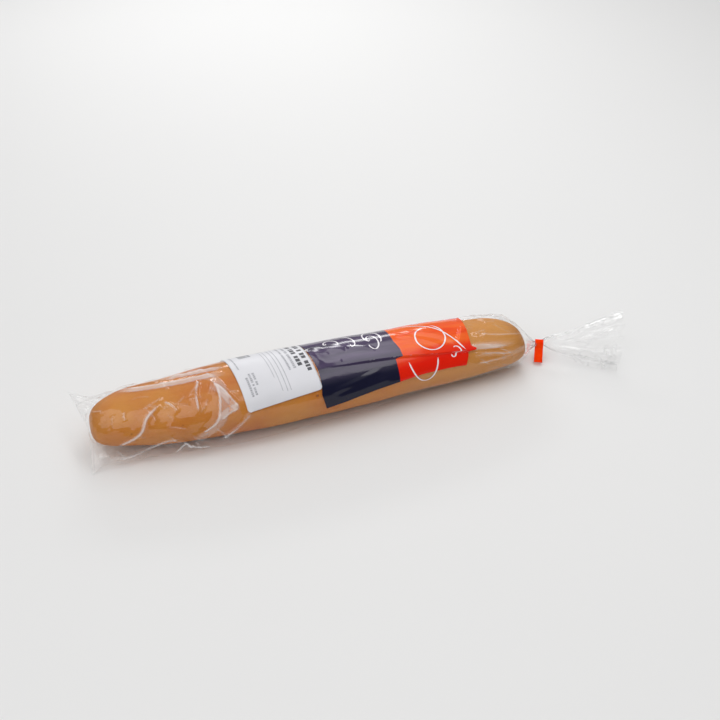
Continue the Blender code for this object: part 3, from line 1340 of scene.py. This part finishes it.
PLACED_CREASES = (
    # the long tuck over the print, running out towards the neck
    Crease((*TUCK, (0.200, 0.0315), (0.233, 0.0260)), 0.014, 0.0016, 0.0018),
    # left third: slanting folds from the crown to the table
    Crease(
        (
            (-0.160, 0.019), (-0.173, 0.027), (-0.183, 0.034),
            (-0.191, 0.046), (-0.208, 0.052), (-0.233, 0.053),
        ),
        0.0035, 0.0110, 0.0026,
    ),
    Crease(((-0.164, 0.020), (-0.156, 0.027), (-0.151, 0.036)), 0.0030, 0.0080, 0.0016),
    Crease(
        (
            (-0.122, 0.003), (-0.111, 0.016), (-0.109, 0.029), (-0.112, 0.043),
            (-0.117, 0.053), (-0.131, 0.061), (-0.146, 0.068),
        ),
        0.0100, 0.0060, 0.0034, 0.45,
    ),
    Crease(
        ((-0.146, 0.066), (-0.165, 0.063), (-0.185, 0.066), (-0.207, 0.070), (-0.234, 0.066)),
        0.0030, 0.0080, 0.0018,
    ),
    Crease(
        ((-0.080, 0.051), (-0.088, 0.057), (-0.101, 0.067), (-0.122, 0.077)), 0.0050, 0.0030, 0.0025, 0.12
    ),
    Crease(((-0.122, 0.003), (-0.130, 0.022), (-0.132, 0.044)), 0.0030, 0.0070, 0.0020),
    Crease(
        ((-0.112, 0.014), (-0.103, 0.026), (-0.096, 0.038), (-0.091, 0.046)), 0.0040, 0.0070, 0.0024, 0.45
    ),
    Crease(((-0.114, 0.053), (-0.102, 0.048), (-0.091, 0.045)), 0.0060, 0.0050, 0.0019, 0.4),
    Crease(((-0.163, 0.082), (-0.157, 0.076), (-0.149, 0.070), (-0.143, 0.082)), 0.0028, 0.0036, 0.0030, 0.5),
    Crease(((-0.147, 0.072), (-0.138, 0.078), (-0.124, 0.081)), 0.0030, 0.0036, 0.0030, 0.8),
    # the crown's long creases, whose flanks carry painted highlight streaks
    Crease(
        (
            (-0.205, -0.016), (-0.187, -0.007), (-0.165, -0.003),
            (-0.139, 0.000), (-0.116, 0.002), (-0.094, 0.004),
        ),
        0.0035, 0.0050, 0.0026, 0.75,
    ),
    Crease(
        ((-0.160, -0.012), (-0.135, -0.010), (-0.114, -0.007), (-0.094, -0.005)), 0.0025, 0.0035, 0.0024, 0.8
    ),
    # the back corner
    Crease(((-0.240, -0.050), (-0.225, -0.036), (-0.205, -0.022)), 0.0050, 0.0060, 0.0022),
    Crease(((-0.240, -0.034), (-0.230, -0.022), (-0.215, -0.014)), 0.0040, 0.0050, 0.0016),
    # pleats running from the print to the neck
    Crease(((0.158, 0.036), (0.188, 0.038), (0.212, 0.038), (0.234, 0.031)), 0.0050, 0.0032, 0.0016),
    Crease(((0.158, 0.049), (0.181, 0.046), (0.199, 0.043), (0.228, 0.035)), 0.0060, 0.0040, 0.0015),
    Crease(((0.168, 0.014), (0.195, 0.018), (0.230, 0.019)), 0.0040, 0.0050, 0.0013),
    Crease(((0.168, -0.014), (0.195, -0.008), (0.232, 0.005)), 0.0050, 0.0050, 0.0016),
    Crease(((0.165, -0.040), (0.195, -0.030), (0.232, -0.012)), 0.0050, 0.0050, 0.0016),
    # slight wrinkles across the print
    Crease(((-0.006, -0.004), (0.003, 0.006), (0.014, 0.008)), 0.0060, 0.0060, 0.0005),
    Crease(((0.000, 0.018), (0.012, 0.0215), (0.024, 0.021)), 0.0050, 0.0040, 0.0006),
    Crease(((0.006, 0.000), (0.018, 0.001), (0.031, 0.009)), 0.0070, 0.0070, 0.0005),
    Crease(((0.032, 0.004), (0.046, 0.007), (0.062, 0.014)), 0.0040, 0.0050, 0.0007),
    Crease(((0.088, -0.004), (0.110, 0.010), (0.135, 0.025)), 0.0050, 0.0050, 0.0009),
    Crease(((0.102, -0.004), (0.128, 0.007), (0.152, 0.024)), 0.0045, 0.0050, 0.0009),
    Crease(((0.150, 0.024), (0.157, 0.012), (0.163, 0.000)), 0.0040, 0.0060, 0.0011),
    Crease(((0.002, 0.052), (0.030, 0.046), (0.062, 0.038)), 0.0040, 0.0040, 0.0006),
    Crease(((0.004, 0.060), (0.038, 0.054), (0.070, 0.048)), 0.0040, 0.0040, 0.0006),
)


def scattered_creases() -> list[Crease]:
    """Small random creases: many near both ends and in the tail, few over the tight middle.

    Returns:
        The creases.
    """
    rng = random.Random(23)
    weld_end, neck_end, whole, tail = (-0.240, -0.095), (0.168, 0.240), (-0.240, 0.230), (0.268, 0.335)
    stretches = (weld_end, weld_end, neck_end, whole, tail, tail)
    found = []
    for number in range(240):
        x = rng.uniform(*stretches[number % len(stretches)])
        around = rng.uniform(-0.115, 0.115)
        heading = rng.gauss(0.5, 0.7) if x < 0.26 else rng.uniform(0.2, 2.9)
        size = rng.uniform(0.008, 0.028)
        step = (size * math.cos(heading) / 2, size * math.sin(heading) / 2)
        bend = rng.uniform(-0.15, 0.15) * size
        calm = 0.16 if -0.09 < x < 0.165 else 1.0
        route = (
            (x - step[0], around - step[1]),
            (x - bend * math.sin(heading), around + bend * math.cos(heading)),
            (x + step[0], around + step[1]),
        )
        width = rng.uniform(0.0022, 0.0050)
        found.append(Crease(route, width, width * rng.uniform(0.5, 1.2), calm * rng.uniform(0.0003, 0.0010)))
    return found


# ---------------------------------------------------------------- the print on the film


@dataclass(frozen=True)
class BandEdges:
    """The printed band's outline: x of its three cross edges and around of its two long edges.

    A knot of the lower edge is (x, around), and one of a cross edge is (around, x).
    """

    lay_flat_width: float = 0.125
    lower_knots: Knots = (
        (-0.005, 0.0672), (0.022, 0.0642), (0.050, 0.0600), (0.081, 0.0552), (0.111, 0.0510), (0.154, 0.0480),
    )
    left_knots: Knots = (
        (-0.05, -0.0110), (-0.013, -0.0090), (0.012, -0.0058), (0.025, -0.0045),
        (0.038, -0.0048), (0.051, -0.0066), (0.067, -0.0030),
    )
    right_knots: Knots = (
        (-0.07, 0.172), (-0.030, 0.1700), (0.009, 0.1655), (0.029, 0.1630), (0.037, 0.1640), (0.048, 0.1600),
    )

    def fold(self, x: Points) -> Points:
        """Where the long tuck runs on the band at x."""
        return through(TUCK, x)

    def tucked(self, x: Points, around: Points) -> Points:
        """How much of the print the tuck hides below it, which draws that part back towards the weld."""
        hidden = 0.0080 * ease(x / 0.07) * (1 - 0.30 * ease((x - 0.09) / 0.08))
        return hidden * ease((around - self.fold(x)) / 0.0012)

    def lower(self, x: Points) -> Points:
        """The band's long edge on the front side."""
        return through(self.lower_knots, x)

    def upper(self, x: Points) -> Points:
        """The band's long edge behind the ridge, one lay-flat width away."""
        return self.lower(x) - self.lay_flat_width

    def left(self, around: Points) -> Points:
        """The cross edge beside the label."""
        return through(self.left_knots, around)

    def change(self, around: Points) -> Points:
        """The cross edge between the two colours."""
        return 0.0835 + 0.0030 * ease((around - 0.004) / 0.016)

    def right(self, around: Points) -> Points:
        """The cross edge towards the neck, with a tongue at the tuck."""
        return through(self.right_knots, around) + 0.005 * bell(around, 0.0312, 0.0022)


@dataclass
class PrintedBand:
    """The two-colour band printed on one face of the film."""

    surface: FilmSurface
    edges: BandEdges = field(default_factory=BandEdges)
    lift: float = 0.00010

    def panel(self, name: str, ink: PrintInk, columns: int, rows: int) -> bpy.types.Object:
        """One colour of the band.

        Args:
            name: the piece's name.
            ink: its colour.
            columns: faces along the bag.
            rows: faces round it.

        Returns:
            The panel.
        """
        edges = self.edges
        starts, ends = (edges.left, edges.change) if ink is PrintInk.NAVY else (edges.change, edges.right)

        def place(u: Points, v: Points) -> Points:
            """Fills the panel between its four edges."""
            middle = np.full_like(u, 0.02)
            guess = starts(middle) + (ends(middle) - starts(middle)) * u
            around = edges.upper(guess) + (edges.lower(guess) - edges.upper(guess)) * v
            x = starts(around) + (ends(around) - starts(around)) * u
            return self.surface.patch(x - edges.tucked(x, around), around, self.lift)

        mesh = grid_mesh(name, columns, rows, place)
        mesh.flip_normals()
        obj = add_object(name, mesh, ink.value.material())
        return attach(obj, "root")

    def build(self) -> list[bpy.types.Object]:
        """Makes both colours.

        Returns:
            The pieces of ink.
        """
        return [
            self.panel("print_navy", PrintInk.NAVY, 96, 170),
            self.panel("print_red", PrintInk.RED, 96, 170),
        ]


@dataclass(frozen=True)
class Flourish:
    """A looping line: it travels along the bag while it circles."""

    start: tuple[float, float]
    travel: tuple[float, float]
    radii: tuple[float, float]
    first_turn: float
    turns: float
    growth: float = 1.0
    width: float = 0.0016

    def line(self, share: Points) -> Points:
        """Points (x, around) of the line's middle.

        Args:
            share: places along the line, from 0 to 1.

        Returns:
            One row per place.
        """
        turn = 2 * np.pi * (self.first_turn + self.turns * share)
        size = 1 + (self.growth - 1) * share
        x = self.start[0] + self.travel[0] * share + self.radii[0] * size * np.cos(turn)
        around = self.start[1] + self.travel[1] * share + self.radii[1] * size * np.sin(turn)
        return np.stack([x, around], axis=1)

    def ribbon(self, share: Points, side: Points) -> Points:
        """Points (x, around) across the line's width, which thins at its ends.

        Args:
            share: places along the line, from 0 to 1.
            side: places across it, from 0 to 1.

        Returns:
            One row per place.
        """
        step = 1e-3
        heading = self.line(share + step) - self.line(share - step)
        heading /= np.linalg.norm(heading, axis=1)[:, None]
        across = np.stack([-heading[:, 1], heading[:, 0]], axis=1)
        weight = 0.55 + 0.45 * np.abs(heading[:, 1])
        width = self.width * weight * ease(np.minimum(share, 1 - share) / 0.08 + 0.15)
        return self.line(share) + across * ((side - 0.5) * width)[:, None]


@dataclass
class Ornament:
    """Loose white loops printed over the band, of no particular meaning."""

    surface: FilmSurface
    edges: BandEdges = field(default_factory=BandEdges)
    lift: float = 0.00022
    lines: tuple[Flourish, ...] = (
        Flourish((0.012, -0.012), (0.016, 0.004), (0.0040, 0.0050), 0.10, 1.30, 0.9),
        Flourish((0.028, -0.016), (0.018, 0.016), (0.0075, 0.0090), 0.55, 0.95, 0.9),
        Flourish((0.058, -0.014), (0.012, 0.008), (0.0065, 0.0130), 0.15, 1.10, 0.8),
        Flourish((0.064, -0.004), (-0.002, 0.012), (0.0060, 0.0100), 0.40, 1.15, 0.8),
        Flourish((0.118, 0.006), (0.010, 0.004), (0.0200, 0.0200), 0.85, 0.85, 0.9),
        Flourish((0.104, -0.028), (0.052, 0.056), (0.0040, 0.0060), 0.30, 0.95, 0.5),
        Flourish((0.110, -0.034), (0.024, 0.004), (0.0100, 0.0110), 0.95, 0.75, 1.0),
        Flourish((0.146, 0.030), (0.003, 0.004), (0.0035, 0.0045), 0.60, 0.90, 0.9),
        Flourish((0.107, 0.038), (0.016, 0.002), (0.0080, 0.0200), 0.52, -0.56, 1.0),
        Flourish((0.030, -0.044), (0.040, 0.004), (0.0080, 0.0080), 0.20, 1.60, 0.9),
        Flourish((0.120, -0.056), (0.030, 0.004), (0.0080, 0.0060), 0.20, 1.60, 0.9),
    )

    def build(self) -> bpy.types.Object:
        """Makes all the loops as one piece.

        Returns:
            The ornament.
        """
        bm = bmesh.new()
        for flourish in self.lines:

            def place(u: Points, v: Points, line: Flourish = flourish) -> Points:
                """Lays one ribbon on the film."""
                spot = line.ribbon(u, v)
                x = spot[:, 0] - self.edges.tucked(spot[:, 0], spot[:, 1])
                return self.surface.patch(x, spot[:, 1], self.lift)

            mesh = grid_mesh("ribbon", round(90 * abs(flourish.turns)) + 20, 3, place)
            bm.from_mesh(mesh)
            bpy.data.meshes.remove(mesh)
        mesh = finished_mesh("print_loops", bm)
        obj = add_object("print_loops", mesh, PrintInk.WHITE.value.material())
        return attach(obj, "root")


# ---------------------------------------------------------------- the label


@dataclass
class ShopLabel:
    """A paper label stuck on the film, with generic bars in place of its text.

    A row of words or a rule is its place along the bag, where it starts and ends round the bag and
    its height; a row of words has a seed too.
    """

    surface: FilmSurface
    box: NodeBox
    around: float = -0.001
    length: float = 0.080
    drop: float = 0.100
    slant: float = math.radians(-5.0)
    corner: float = 0.0035
    paper: float = 0.00014
    lift: float = 0.00016
    print_gap: float = 0.00006
    cell: float = 0.0016
    headings: tuple[Row, ...] = ((0.0345, -0.046, 0.0250, 0.0050, 3), (0.0272, -0.046, 0.0184, 0.0050, 8))
    small_rows: tuple[Row, ...] = (
        (0.0208, -0.040, 0.0208, 0.0028, 4),
        (0.0152, -0.036, 0.0213, 0.0022, 9),
        (-0.0224, 0.0130, 0.0260, 0.0024, 6),
        (-0.0264, 0.0127, 0.0357, 0.0024, 7),
        (-0.0304, 0.0164, 0.0374, 0.0024, 2),
        (-0.0336, -0.030, 0.004, 0.0016, 1),
    )
    rules: tuple[Mark, ...] = (
        (0.0085, -0.038, 0.0417, 0.0006),
        (0.0048, -0.038, 0.0417, 0.0006),
        (0.0000, -0.036, 0.0400, 0.0005),
        (-0.0035, -0.036, 0.0250, 0.0005),
    )

    def __post_init__(self) -> None:
        """Finds the label's middle on the loaf."""
        self.x = self.box.middle.x - self.surface.loaf.box.middle.x

    def spot(self, along: Points, down: Points, lift: float) -> Points:
        """A place on the label, measured from its middle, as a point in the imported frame.

        Args:
            along: distance along the bag.
            down: distance round the bag.
            lift: distance off the film.

        Returns:
            One point per row.
        """
        x = self.x + along * math.cos(self.slant) - down * math.sin(self.slant)
        around = self.around + down * math.cos(self.slant) + along * math.sin(self.slant)
        return self.surface.patch(x, around, lift)

    def cut_lines(self, bm: bmesh.types.BMesh) -> None:
        """Cuts a flat outline into squares so that it can bend.

        Args:
            bm: the flat outline.
        """
        for axis, reach in ((0, self.length / 2), (1, self.drop / 2)):
            normal = Vector((0, 0, 0))
            normal[axis] = 1.0
            for mark in np.arange(-reach + self.cell, reach, self.cell):
                geometry = [*bm.verts, *bm.edges, *bm.faces]
                cut = normal * float(mark)
                bmesh.ops.bisect_plane(bm, geom=geometry, dist=1e-7, plane_co=cut, plane_no=normal)

    def sheet(self) -> bpy.types.Object:
        """The paper itself: a rectangle with rounded corners.

        Returns:
            The sheet of paper.
        """
        bm = bmesh.new()
        bmesh.ops.create_grid(bm, x_segments=1, y_segments=1, size=0.5)
        bmesh.ops.scale(bm, vec=(self.length, self.drop, 1), verts=bm.verts)
        bmesh.ops.bevel(
            bm, geom=bm.verts[:], offset=self.corner, affect="VERTICES", segments=6, profile=0.5, material=-1
        )
        self.cut_lines(bm)
        mesh = finished_mesh("shop_label", bm)
        flat = mesh_points(mesh)
        set_mesh_points(mesh, self.spot(flat[:, 0], flat[:, 1], self.lift))
        mesh.flip_normals()
        obj = add_object("shop_label", mesh, PaperFinish().material())
        wall = obj.modifiers.new("paper", "SOLIDIFY")
        wall.thickness = self.paper
        wall.offset = 1.0
        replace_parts(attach(obj, "root"), "label")
        return obj

    def bars(self, name: str, marks: Iterable[Mark], tone: Colour) -> bpy.types.Object:
        """Printed marks as one thin piece.

        Args:
            name: the piece's name.
            marks: middle along, middle down, size along and size down of each mark, from the label's middle.
            tone: the print's colour.

        Returns:
            The piece.
        """
        bm = bmesh.new()
        height = self.lift + self.paper + self.print_gap
        for mark in marks:

            def place(u: Points, v: Points, mark: Mark = mark) -> Points:
                """Lays one mark on the paper."""
                along, down, wide, tall = mark
                return self.spot(along + (u - 0.5) * wide, down + (v - 0.5) * tall, height)

            columns, rows = (max(1, round(size / self.cell)) for size in mark[2:])
            mesh = grid_mesh("mark", columns, rows, place)
            bm.from_mesh(mesh)
            bpy.data.meshes.remove(mesh)
        mesh = finished_mesh(name, bm)
        mesh.flip_normals()
        obj = add_object(name, mesh, LabelInkFinish(name + "_ink", tone).material())
        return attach(obj, "root")

    @staticmethod
    def word_row(along: float, start: float, end: float, height: float, seed: int) -> list[Mark]:
        """A row of word-like blocks that runs round the bag at one place along it.

        Args:
            along: the place along the bag.
            start: where the row starts round the bag.
            end: where it ends.
            height: the height of its blocks.
            seed: the seed of its random draws.

        Returns:
            The marks.
        """
        rng = random.Random(seed)
        marks, down = [], start
        while down < end:
            size = height * rng.uniform(0.45, 0.85)
            marks.append((along, down + size / 2, height * rng.uniform(0.85, 1.0), size))
            down += size + height * (0.22 if rng.random() < 0.8 else 0.8)
        return marks

    @staticmethod
    def rule(along: float, start: float, end: float, height: float) -> Mark:
        """One thin line that runs round the bag."""
        return (along, (start + end) / 2, height, end - start)

    @staticmethod
    def code_block() -> list[Mark]:
        """Upright stripes of uneven width, as on a price code.

        Returns:
            The marks.
        """
        rng = random.Random(5)
        marks, along = [], -0.0260
        while along < -0.0140:
            wide = rng.choice((0.00035, 0.0007, 0.0010))
            marks.append((along + wide / 2, -0.0215, wide, 0.0150))
            along += wide + rng.choice((0.0004, 0.0006))
        return marks

    def build(self) -> list[bpy.types.Object]:
        """Makes the paper and its print.

        Returns:
            The paper and its two sorts of print.
        """
        heavy = [mark for row in self.headings for mark in self.word_row(*row)]
        light = [mark for row in self.small_rows for mark in self.word_row(*row)]
        light += [self.rule(*line) for line in self.rules]
        return [
            self.sheet(),
            self.bars("label_heading", heavy, (0.055, 0.055, 0.065)),
            self.bars("label_lines", light, (0.30, 0.30, 0.33)),
            self.bars("label_code", self.code_block(), (0.20, 0.20, 0.22)),
        ]


# ---------------------------------------------------------------- the neck tape


@dataclass
class NeckTape:
    """A strip of tape round the gathered neck, its two ends stuck together as a flag."""

    box: NodeBox
    neck_height: float
    neck_y: float
    radius: float = 0.0036
    width: float = 0.009
    reach: float = 0.0225
    slope: float = math.radians(37)
    turn: float = math.radians(26)
    ply: float = 0.00035
    meet: float = 0.0062

    def path(self, share: Points) -> Points:
        """The strip's line in the neck's cross-section: out along the flag, round the neck, and back.

        Args:
            share: 0 at one end of the strip, 1 at the other.

        Returns:
            Points (out, up) with out along the flag and up square to it.
        """
        touch = math.acos(self.radius / self.meet)
        tangent = self.meet * math.sin(touch)
        flag = self.reach - self.meet
        arc = self.radius * (2 * math.pi - 2 * touch)
        run = (share - 0.5) * (2 * flag + 2 * tangent + arc)
        side, run = np.sign(run), np.abs(run)
        angle = np.pi - np.minimum(run, arc / 2) / self.radius
        out, up = self.radius * np.cos(angle), self.radius * np.sin(angle)
        slant = np.clip(run - arc / 2, 0, tangent) / tangent
        out = out + (self.meet - self.radius * math.cos(touch)) * slant
        up = up * (1 - slant) + self.ply * 0.62 * slant
        out = out + np.clip(run - arc / 2 - tangent, 0, None)
        return np.stack([out, side * up], axis=1)

    def build(self) -> bpy.types.Object:
        """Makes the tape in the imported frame.

        Returns:
            The tape.
        """

        def place(u: Points, v: Points) -> Points:
            """Lays the strip round the neck."""
            line = self.path(u)
            sag = 0.0009 * ease((line[:, 0] - 0.008) / 0.014) * np.sin(3.0 * v + 0.4)
            out, up = line[:, 0], line[:, 1] - sag
            beside = (v - 0.5) * self.width
            forward = out * math.cos(self.slope) - up * math.sin(self.slope)
            x = self.box.middle.x + beside * math.cos(self.turn) - forward * math.sin(self.turn)
            y = self.neck_y - beside * math.sin(self.turn) - forward * math.cos(self.turn)
            z = self.neck_height - out * math.sin(self.slope) - up * math.cos(self.slope)
            return np.stack([x, y, np.maximum(z, 0.0007)], axis=1)

        mesh = grid_mesh("neck_tape_strip", 150, 10, place)
        obj = add_object("neck_tape_strip", mesh, TapeFinish().material())
        wall = obj.modifiers.new("ply", "SOLIDIFY")
        wall.thickness = self.ply
        wall.offset = 0.0
        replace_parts(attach(obj, "root"), "neck_tape")
        return obj


# ---------------------------------------------------------------- table, light and camera


@dataclass(frozen=True)
class Softbox:
    """A flat light: where it hangs, its size and its power in watts; it faces the pack or straight down."""

    name: str
    place: tuple[float, float, float]
    size: tuple[float, float]
    power: float
    faces_down: bool = False


@dataclass
class Studio:
    """A pale table, soft lights and the camera."""

    azimuth: float = -19.3
    elevation: float = 36.0
    distance: float = 1.484
    aim: tuple[float, float, float] = (0.0106, 0.0148, 0.030)
    lens: float = 70.0
    dim: float = 0.14
    bright: float = 0.57
    table_width: float = 60.0
    lights: tuple[Softbox, ...] = (
        Softbox("overhead_strip", (0.43, 0.35, 1.30), (0.37, 1.90), 6.4, faces_down=True),
        Softbox("back_strip", (0.20, 1.35, 0.62), (0.80, 0.16), 3.2),
        Softbox("fill_softbox", (-1.30, -1.00, 1.80), (3.40, 2.60), 33.0),
    )

    def table(self) -> bpy.types.Object:
        """The table top, far wider than the camera sees.

        Returns:
            The table top.
        """
        bm = bmesh.new()
        bmesh.ops.create_grid(bm, x_segments=8, y_segments=8, size=self.table_width / 2)
        table = add_object("table_top", finished_mesh("table_top", bm), TableFinish().material())
        return table

    def add_light(self, box: Softbox) -> None:
        """Hangs one softbox.

        Args:
            box: the softbox to hang.
        """
        data = bpy.data.lights.new(box.name, "AREA")
        data.shape = "RECTANGLE"
        data.size, data.size_y = box.size
        data.energy = box.power
        light = bpy.data.objects.new(box.name, data)
        light.location = box.place
        if not box.faces_down:
            light.rotation_euler = (-Vector(box.place)).to_track_quat("-Z", "Y").to_euler()
        bpy.context.scene.collection.objects.link(light)

    def add_camera(self) -> None:
        """Stands the camera at its angle and makes it the scene's own."""
        turn, rise = math.radians(self.azimuth), math.radians(self.elevation)
        back = Vector((math.sin(turn) * math.cos(rise), -math.cos(turn) * math.cos(rise), math.sin(rise)))
        data = bpy.data.cameras.new("camera")
        data.lens = self.lens
        data.sensor_width = 36.0
        camera = bpy.data.objects.new("camera", data)
        camera.location = Vector(self.aim) + back * self.distance
        camera.rotation_euler = back.to_track_quat("Z", "Y").to_euler()
        bpy.context.scene.collection.objects.link(camera)
        bpy.context.scene.camera = camera

    def room(self) -> bpy.types.World:
        """A room with a bright ceiling and back wall and a dim front.

        Returns:
            The world.
        """
        world = bpy.data.worlds.new("soft_room")
        world.use_nodes = True
        tree = world.node_tree
        backdrop = tree.nodes["Background"]
        backdrop.inputs["Color"].default_value = (1.0, 0.995, 0.985, 1)
        toward = tree.nodes.new("ShaderNodeTexCoord")
        height = tree.nodes.new("ShaderNodeVectorMath")
        height.operation = "DOT_PRODUCT"
        height.inputs[1].default_value = (0.0, 0.35, 1.0)
        rise = tree.nodes.new("ShaderNodeMapRange")
        rise.interpolation_type = "SMOOTHSTEP"
        limits = {"From Min": 0.25, "From Max": 0.75, "To Min": self.dim, "To Max": self.bright}
        for socket, value in limits.items():
            rise.inputs[socket].default_value = value
        tree.links.new(toward.outputs["Generated"], height.inputs[0])
        tree.links.new(height.outputs["Value"], rise.inputs["Value"])
        tree.links.new(rise.outputs["Result"], backdrop.inputs["Strength"])
        return world

    def build(self) -> None:
        """Sets up the table, the lights, the world and the camera."""
        scene = bpy.context.scene
        self.table()
        for box in self.lights:
            self.add_light(box)
        scene.world = self.room()
        scene.view_settings.view_transform = "Standard"
        self.add_camera()


# ---------------------------------------------------------------- everything together


def main() -> None:
    """Builds every piece in order and reports it."""
    logging.basicConfig(level=logging.INFO, format="%(name)s: %(message)s")
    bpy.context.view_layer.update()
    loaf = Loaf(NodeBox.of("loaf"))
    crust = loaf.build()
    log.info("%s: %d faces", crust.name, len(crust.data.polygons))
    bag = FilmBag(loaf, NodeBox.of("neck_tape"))
    surface = bag.surface()
    film = bag.build(surface)
    log.info("%s: %d faces", film.name, len(film.data.polygons))
    print_pieces = [*PrintedBand(surface).build(), Ornament(surface).build()]
    label_pieces = ShopLabel(surface, NodeBox.of("label")).build()
    tape = NeckTape(NodeBox.of("neck_tape"), bag.neck_z, loaf.offset[1]).build()
    for piece in (*print_pieces, *label_pieces, tape):
        log.info("%s: %d faces", piece.name, len(piece.data.polygons))
    Studio().build()


if __name__ == "__main__":
    main()
